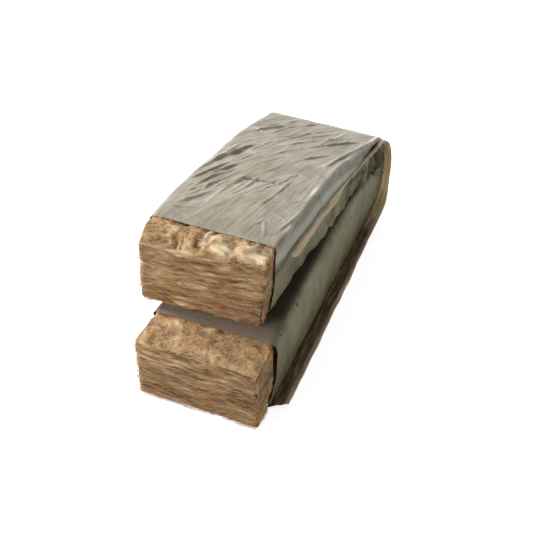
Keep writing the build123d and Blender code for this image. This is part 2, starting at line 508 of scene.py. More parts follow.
def make_blanket():
    """The whole blanket, one closed mesh with its two open ends."""
    ring = section_ring(BLANKET_ACROSS, BLANKET_DEEP)
    stations = blanket_stations()
    s = np.repeat(stations[:, None], len(ring), 1)
    deep = depth_at(stations)[:, None]
    across = ring[:, 0] / BLANKET_ACROSS * WIDTH + 0 * s
    through = ring[:, 1] / BLANKET_DEEP * deep
    bare = bareness(s, through, 0.008, 0.030)
    radius = COVERED_CORNER + (BARE_CORNER - COVERED_CORNER) * bare
    u, t = rounded(across, through, WIDTH, deep, radius)
    body = place(s, u, t)
    closed = np.concatenate([body[:, -1:], body, body[:, :1]], 1)
    normals = surface_normals(closed)[:, 1:-1]
    flat = face_shares(u, t, deep)[1]
    relief = fibre_relief(s, u, t, flat)
    pale = tuft(s, u) * flat * (t < deep / 2) * (s > FOLD_MIDDLE)
    end = np.minimum(s, LENGTH - s)
    clear = bareness(s, t, -0.014, -0.004)
    relief = np.minimum(relief, 0) + clear * (np.maximum(relief, 0) + TUFT_HEIGHT * pale)
    lift = bare * (relief - 0.002 * fall(end, 0, 0.010))
    from_side = fall(np.minimum(u, WIDTH - u), 0.0, 0.05)
    pulled_in = 0.034 * from_side * np.exp(-((s - FOLD_MIDDLE - 0.08) / 0.34) ** 4) * (t > 0.02)
    lift = lift - (1 - bare) * (TUCK_UNDER_FILM + pulled_in) - slot_depth(s, u, t, deep) * bare
    underside = fall(t, 0.0, 0.01) * (s < FOLD_MIDDLE)
    lift = lift * (1 - underside) + np.minimum(lift, 0.0) * underside
    points = body + normals * lift[..., None]
    tone = fibre_tone(s, u, t, flat) * (1 - pale) + pale * 1.15
    a, b = slanted(s, u)
    near_film = step(LENGTH - s, 0.030, 0.105) * (s > FOLD_MIDDLE)
    rust = step(fractal(a * 21, b * 15, 0, 2, seed=69), -0.25, 0.45)
    rust = rust * (0.10 + 0.60 * near_film) * flat * (1 - pale)
    columns = [(points.reshape(-1, 3), np.stack([s, u, t], -1).reshape(-1, 3), tone.ravel(),
                (relief * bare).ravel(), rust.ravel())]
    faces = [grid_faces(len(stations), len(ring), wrap=True)]
    first = s.size
    for station, row, way in ((0.0, 0, -1), (LENGTH, len(stations) - 1, 1)):
        i, j, cu, ct, proud, caps = cap_points(station, way)
        lookup = np.zeros((BLANKET_ACROSS + 1, BLANKET_DEEP + 1), int)
        lookup[ring[:, 0], ring[:, 1]] = row * len(ring) + np.arange(len(ring))
        lookup[i, j] = first + np.arange(i.size).reshape(i.shape)
        corners = [lookup[:-1, :-1], lookup[1:, :-1], lookup[1:, 1:], lookup[:-1, 1:]]
        quads = np.stack(corners, -1).reshape(-1, 4)
        faces.append(quads if way > 0 else quads[:, ::-1])
        below = ct / LEG if way > 0 else 1 - ct / LEG
        # The end faces darken towards the right: painted shade, as if lit from the left. They also darken
        # towards the bottom.
        tone = 1.4 * fibre_tone(station, cu, ct, 0.0) - 0.06 - 0.16 * below - 0.16 * cu / WIDTH
        columns.append((caps.reshape(-1, 3), np.stack([np.full(cu.size, station), cu.ravel(), ct.ravel()], 1),
                        tone.ravel(), proud.ravel(), 0.22 * step(below, 0.45, 1.0).ravel()))
        first += cu.size
    spots, strips, tones, heights, rusts = (np.concatenate(column) for column in zip(*columns))
    return make_mesh("fibre_blanket", spots, np.concatenate(faces),
                     [("strip", strips), ("tone", tones), ("relief", heights), ("rust", rusts)])


# Loose fibres

FIBRE_POINTS = 6
FIBRE_SIDES = 3
END_FIBRES = 3300
OPEN_FIBRES = 3000
EDGE_FIBRES = 1050
THINNEST = 0.0003
SIDEWAYS = (0.31, 0.52, 0.79)


def unit(vectors):
    """Vectors brought to length 1."""
    return vectors / np.maximum(np.linalg.norm(vectors, axis=-1, keepdims=True), 1e-9)


def make_strands(name, paths, thickness, tone):
    """Thin three-sided tubes along many short paths, given as an array of strand, point and place."""
    count, length = paths.shape[:2]
    way = unit(np.gradient(paths, axis=1))
    across = unit(np.cross(way, np.array(SIDEWAYS)))
    other = np.cross(way, across)
    taper = np.sin(np.linspace(0.12, pi - 0.12, length))[None, :, None, None]
    angles = np.arange(FIBRE_SIDES) * 2 * pi / FIBRE_SIDES
    circle = across[:, :, None] * np.cos(angles)[:, None] + other[:, :, None] * np.sin(angles)[:, None]
    points = paths[:, :, None] + circle * taper * thickness[:, None, None, None] / 2
    one = grid_faces(length, FIBRE_SIDES, wrap=True)
    faces = one[None] + (np.arange(count) * length * FIBRE_SIDES)[:, None, None]
    tones = np.broadcast_to(tone[:, None, None], (count, length, FIBRE_SIDES))
    return make_mesh(name, points.reshape(-1, 3), faces.reshape(-1, 4), [("tone", tones.ravel())])


def end_strands(random, station, way, count):
    """Fibres on an end face, lying along its layers."""
    thick = depth_at(station)
    u = random.uniform(-0.004, WIDTH + 0.002, count)
    t = random.uniform(0.002, thick - 0.002, count)
    length = random.uniform(0.012, 0.055, count)
    slope = random.normal(0.06, 0.16, count)
    bow = random.normal(0, 0.12, count)
    run = np.linspace(-0.5, 0.5, FIBRE_POINTS)[None, :]
    du = run * length[:, None]
    dt = slope[:, None] * du + bow[:, None] * length[:, None] * (run ** 2 - 0.1)
    uu = u[:, None] + du
    uu = np.where(uu > WIDTH + 0.001, 2 * (WIDTH + 0.001) - uu, uu)
    uu = np.where(uu < -0.005, -0.010 - uu, uu)
    sway = layer_sway(station, uu, t[:, None]) - layer_sway(station, u, t)[:, None]
    tt = np.clip(t[:, None] + dt - 0.6 * sway, 0.001, thick - 0.001)
    proud = 1.5 * fibre_relief(station, np.clip(uu, 0, WIDTH), tt, 0.0) + END_PUFF
    proud = proud + random.uniform(-0.0002, 0.0022, count)[:, None]
    proud = proud + 0.002 * (run * 2) ** 2 * random.uniform(-0.3, 1, (count, 1))
    return place(station + way * proud, uu, tt)


def open_strands(random, upper, count):
    """Curled fibres on the open top of a leg's bare end and on its bare right side."""
    bare = BARE_UPPER if upper else BARE_LOWER
    on_side = random.uniform(0, 1, count) < 0.22
    back = random.uniform(-0.002, bare - 0.006, count)
    u = np.where(on_side, WIDTH, random.uniform(0, WIDTH, count))
    place_across = np.where(on_side, random.uniform(0.0, LEG, count), u)
    heading = random.uniform(0, 2 * pi, count)
    length = random.uniform(0.014, 0.045, count)
    a, b = back.copy(), place_across.copy()
    path = []
    for _ in range(FIBRE_POINTS):
        path.append((a, b))
        turn = 5.0 * noise(a * 22, b * 22, on_side * 3.0, seed=71) + 1.6 * (random.uniform(0, 1, count) - 0.5)
        angle = np.where(on_side, 0.4 * turn, heading + turn)
        a = a + np.cos(angle) * length / FIBRE_POINTS
        b = b + np.sin(angle) * length / FIBRE_POINTS
    a, b = (np.stack(v, 1) for v in zip(*path))
    a = np.clip(a, -0.004, bare - 0.002)
    s = LENGTH - a if upper else a
    deep = depth_at(s)
    sides = on_side[:, None]
    uu = np.where(sides, WIDTH, np.clip(b, 0.001, WIDTH - 0.001))
    tt = np.where(sides, np.clip(b, 0.002, deep - 0.002), 0 if upper else deep)
    flat = np.where(sides, 0.0, 1.0)
    run = np.linspace(-1, 1, FIBRE_POINTS)[None, :]
    relief = fibre_relief(s, uu, tt, flat) + 0.0006 + random.uniform(0, 0.0025, count)[:, None]
    relief = relief + 0.003 * run ** 2 * random.uniform(-0.4, 1, (count, 1))
    if upper:
        relief = relief + TUFT_HEIGHT * tuft(s, uu) * flat
    relief = relief - slot_depth(s, uu, tt, deep)
    inward = -relief if upper else relief
    return place(s, uu + np.where(sides, relief, 0), tt + np.where(sides, 0, inward)), s, uu, flat


def edge_strands(random, upper, count):
    """Short loops of fibre that stand out from the left side and the edges of a leg's bare end."""
    bare = BARE_UPPER if upper else BARE_LOWER
    on_left = random.uniform(0, 1, count) < 0.45
    run = np.linspace(0, 1, FIBRE_POINTS)[None, :]
    height = random.uniform(0.002, 0.010, count)[:, None]
    height = height * np.sin(run * pi * random.uniform(0.5, 1.0, (count, 1)))
    length = random.uniform(0.008, 0.030, count)[:, None]
    heading = random.uniform(0, 2 * pi, count)[:, None] + random.normal(0, 0.8, (count, 1)) * run
    along_a = np.cumsum(np.cos(heading), 1) * length / FIBRE_POINTS
    along_b = np.cumsum(np.sin(heading), 1) * length / FIBRE_POINTS
    on_side, at_edge = random.uniform(0, bare - 0.02, count), random.uniform(-0.003, 0.006, count)
    back = np.where(on_left, on_side, at_edge)[:, None] + along_a
    deep = depth_at(LENGTH if upper else 0.0)
    near_top = random.uniform(0, 1, count) < 0.6
    across = random.uniform(0.0, WIDTH, count)[:, None] + along_b
    through = random.uniform(0.004, deep - 0.004, count)[:, None] + along_b
    edge = np.where(near_top == upper, 0.0, deep)[:, None]
    inward = np.where(edge > 0, height, -height)
    left = on_left[:, None]
    s = LENGTH - back if upper else back
    through = np.clip(through, 0.004, deep - 0.004)
    proud = fibre_relief(s, 0.0, through, 0.0)
    return place(s, np.where(left, 0.0005 - proud - height, np.clip(across, 0, WIDTH)),
                 np.where(left, through, edge + inward))


def make_loose_fibres():
    """Thousands of single fibres that catch the light on the bare ends."""
    random = np.random.default_rng(7)
    ends = [end_strands(random, 0.0, -1, END_FIBRES), end_strands(random, LENGTH, 1, END_FIBRES)]
    thickness = random.uniform(THINNEST, 0.0010, 2 * END_FIBRES)
    tone = np.clip(random.normal(0.68, 0.24, 2 * END_FIBRES), 0.1, 1.2)
    front = make_strands("end_fibres", np.concatenate(ends), thickness, tone)
    tops, tones = [], []
    for upper in (False, True):
        path, s, u, flat = open_strands(random, upper, OPEN_FIBRES)
        pale = (tuft(s, u) * flat).mean(1) if upper else 0.0
        tops.append(path)
        tones.append(np.clip(random.normal(0.78, 0.20, OPEN_FIBRES) + 0.5 * pale, 0.1, 1.3))
    thickness = random.uniform(THINNEST, 0.0010, 2 * OPEN_FIBRES)
    loose = make_strands("top_fibres", np.concatenate(tops), thickness, np.concatenate(tones))
    loops = np.concatenate([edge_strands(random, upper, EDGE_FIBRES // 2) for upper in (False, True)])
    tone = np.clip(random.normal(0.80, 0.18, len(loops)), 0.2, 1.2)
    fuzz = make_strands("edge_fibres", loops, random.uniform(THINNEST, 0.0009, len(loops)), tone)
    return front, loose, fuzz


# Films

FLOOR_STEP = 0.010
FILM_STEP = 0.0030
PERFORATED_STEP = 0.0042
SEAM_DEPTH = 0.054
SEAM_STAND = 0.013
SEAM_BAND = 0.012
SEAM_AT_FOLD = 0.001
SEAM_FADE = 0.020
FINE_RUN = 1.32
FACING_COUNT = 150
PERFORATED_COUNT = 170


def hang_share(s, right):
    """0 where a flange stands out from the side, 1 where it hangs against it."""
    if right:
        return step(s, FOLD_STOP - 0.075, FOLD_STOP + 0.045)
    return step(s, FOLD_START + 0.04, FOLD_START + 0.20)


def seam_depth(s, right):
    """How far in from the outside the seam between the two films lies, less and less towards the fold."""
    drop = step(s, FOLD_STOP - 0.07, FOLD_STOP + 0.44) if right else hang_share(s, right)
    return SEAM_AT_FOLD + (SEAM_DEPTH - SEAM_AT_FOLD) * drop


def seam_stand(s, t, right):
    """How far the films stand off the side near the seam."""
    back = FILM_STOP - s
    hang = hang_share(s, right) * (0.35 * step(back, 0.0, 0.06) + 0.65 * step(back, 0.06, 0.22))
    near = np.exp(-np.abs(t - seam_depth(s, right)) / SEAM_FADE)
    return SEAM_STAND * hang * near


def stand_off(s, u, t):
    """How far a film's points move sideways, away from the batt at both seams."""
    right = seam_stand(s, t, True) * step(u, WIDTH - SEAM_BAND, WIDTH)
    return right - seam_stand(s, t, False) * step(-u, -SEAM_BAND, 0)


def near_side(u, first, last=0.0):
    """0 in the middle, rising to 1 between two distances in from the sides."""
    return step(np.abs(u - WIDTH / 2), WIDTH / 2 - first, WIDTH / 2 - last)


def outer_corner(s):
    """Radius of the facing film's corners: tight where its flange stands out, wider where it hangs."""
    return 0.004 + 0.010 * float(hang_share(s, True))


def inner_corner(s):
    """Radius of the side film's corner at the crease: wide on the lower leg and tight on the upper one."""
    return 0.030 - 0.022 * float(step(s, FOLD_STOP - 0.05, FOLD_STOP + 0.10))


def section_path(deep, right_depth, left_depth, radius, far_side, count):
    """Section points (u, t) of a film from its right seam to its left seam.

    far_side True runs over the inside of the leg, and False over its outside.
    """
    level = deep if far_side else 0.0
    turn = 1 if far_side else -1
    quarter = np.linspace(0, pi / 2, 12)
    rise = level - turn * radius + turn * radius * np.sin(quarter)
    right = np.stack([WIDTH - radius + radius * np.cos(quarter), rise], 1)
    left = right[::-1] * [-1, 1] + [WIDTH, 0]
    chain = np.concatenate([[[WIDTH, right_depth]], right, left, [[0.0, left_depth]]])
    run = np.concatenate([[0], np.cumsum(np.linalg.norm(np.diff(chain, axis=0), axis=1))])
    places = np.linspace(0, run[-1], count)
    return np.stack([np.interp(places, run, chain[:, k]) for k in (0, 1)], 1)


def film_grid(stations, count, radius, far_side):
    """Strip coordinates s, u and t of a film's grid."""
    sections = []
    for station in stations:
        depths_here = [float(seam_depth(station, right)) for right in (True, False)]
        if not far_side:
            depths_here = [max(d, radius(station)) for d in depths_here]
        deep = float(depth_at(station))
        sections.append(section_path(deep, *depths_here, radius(station), far_side, count))
    sections = np.array(sections)
    s = np.repeat(stations[:, None], count, 1)
    return s, sections[..., 0], sections[..., 1]


def shaped_ends(s, u, t, seed):
    """Stations moved so that a film's two free edges follow their own lines and waver a little."""
    wander = 0.0035 * fractal(u * 18, t * 18, 0, 3, seed=seed)
    near = fall(s, BARE_LOWER, BARE_LOWER + 0.15)
    far = step(s, FILM_STOP - 0.15, FILM_STOP)
    s = s + (lower_film_edge(t) - BARE_LOWER + wander) * near
    return s + (upper_film_edge(t) - FILM_STOP + wander) * far


# Folds seen on the top film: start and end (across, back from the front edge), bend, width and height
MAIN_FOLDS = (
    ((0.126, 0.262), (0.300, 0.288), -0.006, 0.0032, -0.0060),
    ((0.128, 0.272), (0.290, 0.298), -0.006, 0.0050, 0.0045),
    ((0.005, 0.253), (0.045, 0.515), 0.006, 0.0060, 0.0060),
    ((0.006, 0.200), (0.075, 0.370), 0.008, 0.0055, 0.0065),
    ((0.005, 0.313), (0.080, 0.520), 0.008, 0.0060, 0.0060),
    ((0.040, 0.080), (0.105, 0.185), 0.004, 0.0050, 0.0045),
    ((0.018, 0.675), (0.110, 0.635), 0.006, 0.0050, 0.0040),
    ((0.020, 0.605), (0.112, 0.802), 0.006, 0.0060, 0.0050),
    ((0.274, 0.067), (0.292, 0.104), 0.004, 0.0045, 0.0035),
    ((0.292, 0.104), (0.328, 0.014), -0.006, 0.0045, 0.0035),
    ((0.250, 0.110), (0.350, 0.090), 0.002, 0.0035, 0.0028),
    ((0.300, 0.150), (0.372, 0.120), 0.004, 0.0040, 0.0030),
    ((0.350, 0.060), (0.374, 0.180), 0.004, 0.0040, 0.0030),
    ((0.335, 0.420), (0.378, 0.760), 0.005, 0.0050, 0.0040),
    ((0.350, 0.520), (0.378, 0.900), 0.004, 0.0045, 0.0040),
)
LEFT_FOLDS = 64
CROSS_FOLDS = 34


def one_fold(u, back, start, end, bend, width, height):
    """A ridge with a hollow beside it, along a bowed line that fades at both ends."""
    run = np.array(end) - np.array(start)
    length = np.hypot(*run)
    run = run / length
    du, db = u - start[0], back - start[1]
    share = (du * run[0] + db * run[1]) / length
    beside = du * run[1] - db * run[0] - 4 * bend * share * (1 - share)
    ends = step(share, -0.05, 0.25) * fall(share, 0.55, 1.1)
    return height * ends * (hump(beside, 0, width) - 0.30 * hump(beside, 1.7 * width, 1.2 * width))


def fold_end(start, heading, length):
    """Where a fold ends, from its start, heading and length."""
    return start[0] + cos(heading) * length, start[1] + sin(heading) * length


def film_folds(s, u):
    """All the folds of the upper leg's film, in metres."""
    back = FILM_STOP - s
    random = np.random.default_rng(12)
    total = sum(one_fold(u, back, *fold) for fold in MAIN_FOLDS)
    for k in range(LEFT_FOLDS):
        heading = radians(random.uniform(56, 80))
        length = random.uniform(0.09, 0.26)
        across = random.uniform(0.0, 0.15) if k % 3 else random.uniform(0.1, 0.26)
        start = (across, random.uniform(0.08, 0.80))
        end = fold_end(start, heading, length)
        bend, width = random.uniform(-0.010, 0.014), random.uniform(0.0030, 0.0058)
        total = total + one_fold(u, back, start, end, bend, width, width * random.uniform(0.35, 0.80))
    for _ in range(CROSS_FOLDS):
        heading = radians(random.uniform(-35, 35))
        length = random.uniform(0.05, 0.14)
        start = (random.uniform(0.02, 0.32), random.uniform(0.02, 0.88))
        end = fold_end(start, heading, length)
        width, bend = random.uniform(0.003, 0.0055), random.uniform(-0.01, 0.01)
        total = total + one_fold(u, back, start, end, bend, width, width * random.uniform(0.3, 0.6))
    return total


def curled_edge(back, from_right, middle, sway, least):
    """A line of lobes along the film's right edge, 1 on the lobes and lower between them."""
    line = hump(from_right, middle + sway * noise(back * 11, 0.3, seed=38), 0.0042)
    return line * (least + (1 - least) * step(noise(back * 13, 3.3, seed=39), -0.35, 0.25))


def facing_relief(s, u, t):
    """How far the outer film stands off the blanket's outside."""
    back = FILM_STOP - s
    upper = step(s, FOLD_STOP - 0.12, FOLD_STOP + 0.06)
    from_right = WIDTH - u + t
    quiet = hump(u, 0.21, 0.11) * (1 - 0.5 * step(back, 0.25, 0.45)) * step(np.abs(back - 0.275), 0.02, 0.05)
    folds = film_folds(s, u) * (0.35 + 0.65 * step(u - t, 0.004, 0.045)) * (1 - 0.55 * quiet)
    soft = fractal(back * 7, u * 9, 0, 3, seed=33)
    long_soft = fractal(back * 2.4 - 4 * u, u * 20, 0, 2, seed=36)
    crush = creases(s * 30, u * 30, 3, seed=34, sharp=1.3)
    fine = creases(back * 16 - 30 * u, u * 58 - 8 * back, 2, seed=35, sharp=1.6)
    ripple_place = step(back, 0.16, 0.40) * fall(back, 0.90, 1.02)
    ripples = creases(back * 44 + 8 * u, u * 7, 2, seed=37, sharp=1.5)
    ripples = ripples * np.exp(-from_right / 0.042) * ripple_place
    bead = curled_edge(back, from_right, 0.004, 0.005, 0.35)
    bead = bead * step(back, 0.05, 0.12) * (1 - 0.5 * step(back, 0.5, 0.7))
    second = hump(from_right, 0.026 + 0.010 * noise(back * 7, 8.3, seed=46), 0.006)
    second = second * step(noise(back * 6, 5.3, seed=47), -0.2, 0.4) * step(back, 0.10, 0.25)
    corner = np.hypot(back - 0.02, from_right - 0.02)
    bearing = np.arctan2(back + 0.004, from_right + 0.004)
    pinch = np.exp(-corner / 0.030) * creases(bearing * 4.5, corner * 8, 1, seed=40)
    front_roll = 0.0020 * hump(back, 0.004, 0.010) * (0.5 + 0.5 * noise(u * 9, 1.2, seed=41))
    channel = 0.007 * hump(t, 0.019, 0.009) * step(u, WIDTH - 0.004, WIDTH) * step(back, 0.05, 0.2)
    on_top = (folds + 0.0016 * soft + 0.0018 * long_soft + 0.0010 * crush + 0.0018 * fine
              + 0.0035 * ripples + 0.0085 * bead + 0.0015 * second + 0.004 * pinch + front_roll - channel)
    around = 0.0018 * soft + 0.0006 * crush + 0.0022 * creases(s * 5, u * 26, 2, seed=44)
    lift = 0.0030 + on_top * upper + around * (1 - upper)
    return lift * (0.2 + 0.8 * step(back, 0.0, 0.025))


def facing_painted_light_and_shade(s, u, t, lift):
    """Painted light and shade on the outer film: -1 for painted shade, tinted brown, in the channel below its
    right edge and along its seam line, 1 for painted highlights on the curled ridges.
    """
    back = FILM_STOP - s
    from_right = WIDTH - u + t
    behind = step(back, 0.04, 0.12)
    on_side = step(u, WIDTH - 0.006, WIDTH - 0.001)
    channel = hump(t, 0.012, 0.0090) * (0.8 + 0.2 * noise(back * 30, 0.4, seed=48))
    line = hump(t, seam_depth(s, True), 0.0035)
    # Painted shade: the brown channel below the right edge and a dark line along the seam.
    dark = np.maximum(channel, 0.9 * line) * on_side * behind * fall(back, 0.80, 0.98)
    # Painted highlights: pale lines along the curled edge and on the highest ridges near it.
    pale = curled_edge(back, from_right, 0.009, 0.004, 0.45)
    pale = np.maximum(pale, step(lift, 0.0070, 0.0110) * np.exp(-from_right / 0.03)) * behind
    return pale * (1 - dark) - dark


def make_facing_film():
    """The outer film, under the lower leg, round the fold and over the upper leg."""
    stations = np.concatenate([np.arange(BARE_LOWER, FOLD_START - 0.1, FLOOR_STEP),
                               np.linspace(FOLD_START - 0.1, FILM_STOP, int(FINE_RUN / FILM_STEP))])
    s, u, t = film_grid(stations, FACING_COUNT, outer_corner, False)
    base = place(shaped_ends(s, u, t, 45), u, t)
    normals = surface_normals(base)
    lift = facing_relief(s, u, t)
    floor = fall(s, FOLD_START - 0.05, FOLD_START + 0.1)
    lift = lift * (1 - floor) + floor * 0.0003
    points = base - normals * lift[..., None]
    points[..., 0] += stand_off(s, u, t) * step(t, 0.004, 0.02)
    return make_mesh("facing_film_sheet", points, grid_faces(*s.shape),
                     [("strip", np.stack([s, u, t], -1)), ("tint", facing_painted_light_and_shade(s, u, t, lift))])


# Folds seen on the side film: start and end (depth, back from the front edge), bend, width and height
SIDE_FOLDS = (
    ((0.070, 0.470), (0.205, 0.385), 0.004, 0.0050, -0.0100),
    ((0.072, 0.485), (0.200, 0.410), 0.004, 0.0060, 0.0075),
    ((0.060, 0.560), (0.190, 0.500), 0.006, 0.0060, -0.0085),
    ((0.050, 0.620), (0.180, 0.560), 0.006, 0.0070, 0.0090),
    ((0.040, 0.680), (0.170, 0.640), 0.004, 0.0060, -0.0100),
    ((0.040, 0.730), (0.165, 0.700), 0.004, 0.0065, 0.0100),
    ((0.035, 0.790), (0.160, 0.770), 0.003, 0.0060, -0.0110),
    ((0.035, 0.840), (0.150, 0.830), 0.003, 0.0060, 0.0100),
    ((0.130, 0.180), (0.165, 0.330), 0.006, 0.0050, -0.0050),
)


def perforated_relief(s, u, t, deep):
    """How far the side and inner film stands proud of the blanket."""
    side = near_side(u, 0.03, 0.004)
    upper = step(s, FOLD_STOP - 0.1, FOLD_STOP + 0.1)
    lower = fall(s, FOLD_START - 0.1, FOLD_START + 0.1)
    from_crease = deep - t
    soft = fractal(s * 8, t * 12, u * 2, 3, seed=51)
    hanging = fractal(s * 30 + t * 16, t * 7, 0, 3, seed=52)
    crush = creases(s * 24, t * 24 + u * 5, 3, seed=53)
    near_fold = np.exp(-(np.abs(s - FOLD_MIDDLE - 0.06) / 0.22) ** 3)
    radial = creases(s * 26 + 0.7 * noise(s * 9, t * 12, seed=54), t * 3.5, 2, seed=55, sharp=1.2)
    back_half = step(s, FOLD_MIDDLE - 0.03, FOLD_MIDDLE + 0.06)
    bunch = near_fold * (0.034 * (radial - 0.42)) * step(t, 0.012, 0.05) * (0.30 + 0.70 * back_half)
    pocket = near_fold * 0.014 * fall(from_crease, 0.004, 0.05)
    crease_roll = (0.010 * fractal(s * 11, 0.7, 0, 3, seed=56) * fall(from_crease, 0.0, 0.06)
                   * (upper + lower) * step(s, 0.35, 0.6) * fall(s, LENGTH - 0.45, LENGTH - 0.25))
    tuck = 0.0060 * upper * hanging * step(t, 0.05, 0.09)
    back = FILM_STOP - s
    long_fold = upper * sum(one_fold(t, back, *fold) for fold in SIDE_FOLDS)
    lift = 0.0012 + 0.0026 * soft + 0.0010 * crush + bunch - pocket + crease_roll + tuck + long_fold
    foot = hump(t, 0.014, 0.012) * lower * 0.004
    puffed = 0.009 * fall(s, BARE_LOWER, BARE_LOWER + 0.10) * hump(from_crease, 0.0, 0.05) * side
    return lift * side + 0.0010 * (1 - side) * soft - foot * side + puffed


def perforated_shade(s, u, t, deep, lift):
    """Painted shade from 0 to 1 on the side film: its hollows near the fold, the crease's edge and the floor.
    """
    side = near_side(u, 0.03, 0.004)
    near_fold = np.exp(-(np.abs(s - FOLD_MIDDLE - 0.10) / 0.26) ** 4)
    hollow = np.maximum(near_fold * step(0.005 - lift, 0.0, 0.011), 0.85 * step(-lift, 0.000, 0.007))
    edge = fall(deep - t, 0.010, 0.070) * np.exp(-(np.abs(s - FOLD_MIDDLE - 0.16) / 0.36) ** 4)
    edge = edge * step(noise(s * 15, 0.2, seed=58), -0.35, 0.2)
    nose = 0.60 * np.exp(-((s - FOLD_STOP + 0.06) / 0.13) ** 4) * step(t, 0.006, 0.035)
    round_fold = step(s, FOLD_START - 0.25, FOLD_START) * fall(s, FOLD_STOP - 0.05, FOLD_STOP + 0.02)
    rim = 0.9 * fall(t, 0.0, 0.020) * round_fold
    hollow = np.maximum(hollow, np.maximum(nose, rim))
    lower = fall(s, FOLD_START - 0.1, FOLD_START + 0.1)
    low = 0.32 * lower * fall(t, 0.0, 0.12) + 0.22 * fall(s, BARE_LOWER, BARE_LOWER + 0.25)
    under_flange = 0.7 * step(s, FOLD_STOP - 0.05, FOLD_STOP + 0.1) * hump(t, 0.085, 0.014)
    return np.clip(np.maximum(np.maximum(hollow, 0.9 * edge), np.maximum(low, under_flange)), 0, 1) * side


def make_perforated_film():
    """The side and inner film, one sheet from the right seam over the inside of the leg to the left seam."""
    stations = np.linspace(BARE_LOWER, FILM_STOP, int((FILM_STOP - BARE_LOWER) / PERFORATED_STEP))
    s, u, t = film_grid(stations, PERFORATED_COUNT, inner_corner, True)
    base = place(shaped_ends(s, u, t, 57), u, t)
    normals = surface_normals(base)
    deep = depth_at(s)
    lift = perforated_relief(s, u, t, deep)
    points = base + normals * lift[..., None]
    points[..., 0] += stand_off(s, u, t)
    over = step(s, FOLD_STOP, FOLD_STOP + 0.1) * fall(s, LENGTH - 0.35, LENGTH - 0.22)
    sag = 0.004 + 0.012 * np.abs(fractal(s * 12, 0.3, 0, 3, seed=59))
    points[..., 2] -= sag * over * fall(deep - t, 0.0, 0.06) * near_side(u, 0.03)
    inner_share = fall(deep - t, 0.001, 0.014) * (1 - near_side(u, SEAM_BAND))
    return make_mesh("perforated_film_sheet", points, grid_faces(*s.shape),
                     [("strip", np.stack([s, u, t], -1)), ("shade", perforated_shade(s, u, t, deep, lift)),
                      ("inner", inner_share)])


# Flanges

FLANGE_STEP = 0.0035
FLANGE_COUNT = 18
FLANGE_FLOOR_FRONT = 0.052
FLANGE_FLOOR_BACK = 0.044
FLANGE_NOSE = 0.028
FLANGE_HUNG = 0.024
FLANGE_PINCHED = 0.009
FLANGE_ROOT = 0.006
FLANGE_END_BACK = 0.052
FLANGE_LOBE = 0.030
FLANGE_FRONT = BARE_LOWER - 0.026
FLANGE_DROOP = radians(3)
RIGHT_HANG = radians(50)
LEFT_HANG = radians(84)


def flange_width(s):
    """Width of a flange along the strip, rounded off at its upper front end."""
    floor = FLANGE_FLOOR_FRONT + (FLANGE_FLOOR_BACK - FLANGE_FLOOR_FRONT) * step(s, 0.3, FOLD_START)
    width = floor + (FLANGE_NOSE - FLANGE_FLOOR_BACK) * step(s, FOLD_START - 0.02, FOLD_START + 0.16)
    width = width + (FLANGE_PINCHED - FLANGE_NOSE) * step(s, FOLD_STOP - 0.12, FOLD_STOP + 0.02)
    width = width + (FLANGE_HUNG - FLANGE_PINCHED) * step(s, FOLD_STOP + 0.36, FOLD_STOP + 0.50)
    ahead = np.clip((FILM_STOP - FLANGE_END_BACK - s) / FLANGE_LOBE, 0, 1)
    return width * (0.12 + 0.88 * np.sqrt(1 - (1 - ahead) ** 2))


def make_flange(name, right):
    """A stapling flange: flat on the floor, standing out round the fold, hanging down the upper leg."""
    way = 1 if right else -1
    stations = np.arange(FLANGE_FRONT, FILM_STOP - FLANGE_END_BACK, FLANGE_STEP)
    w = np.repeat(np.linspace(0, 1, FLANGE_COUNT)[None, :], len(stations), 0)
    s = stations[:, None] + 0.030 * w * fall(stations[:, None], FLANGE_FRONT, BARE_LOWER + 0.15)
    hang = hang_share(s, right)
    side = WIDTH if right else 0.0
    root = seam_depth(s, right)
    edge = place(s, side, root)
    inward = place(s, side, root + 0.01) - edge
    inward = inward / np.linalg.norm(inward, axis=-1, keepdims=True)
    droop = FLANGE_DROOP + hang * (RIGHT_HANG if right else LEFT_HANG)
    width = flange_width(s) * (1 + 0.05 * fractal(s * 16, 0.5, 0, 2, seed=81 + way))
    reach = w * (width + FLANGE_ROOT * (1 - hang))
    wave = fractal(s * 15, w * 1.5, 0, 3, seed=82 + way)
    pleats = creases(s * 6, w * 3.2 + 0.5 * noise(s * 9, 0, seed=83), 2, seed=84 + way, sharp=1.4)
    bulge = (0.0030 * wave + 0.0048 * pleats) * step(w, 0.0, 0.3)
    belly = 0.005 * hang * np.sin(w * pi) + 0.004 * hang * step(w, 0.8, 1.0)
    on_floor = fall(s, FOLD_START - 0.1, FOLD_START + 0.02)
    bulge = bulge * (1 - on_floor) + (np.abs(bulge) + 0.0006) * on_floor
    stand = SEAM_STAND * hang - FLANGE_ROOT * (1 - hang)
    out_part = stand + reach * np.cos(droop) + (bulge + belly) * np.sin(droop)
    in_part = reach * np.sin(droop) + bulge * np.cos(droop)
    points = edge + inward * in_part[..., None]
    points[..., 0] += way * out_part
    return make_mesh(name, points, grid_faces(*s.shape), [("strip", np.stack([s, w, hang], -1))])


# Materials

def new_material(name):
    """An empty node material with its principled shader."""
    material = bpy.data.materials.new(name)
    material.use_nodes = True
    return material, material.node_tree, material.node_tree.nodes["Principled BSDF"]


def srgb(r, g, b):
    """A linear colour from 8-bit screen values."""
    shares = (value / 255 for value in (r, g, b))
    return (*(c / 12.92 if c <= 0.04 else ((c + 0.055) / 1.055) ** 2.4 for c in shares), 1)


def feed(tree, value, socket):
    """Link an output to a socket, or set the socket to a value."""
    if isinstance(value, bpy.types.NodeSocket):
        tree.links.new(value, socket)
    else:
        socket.default_value = value


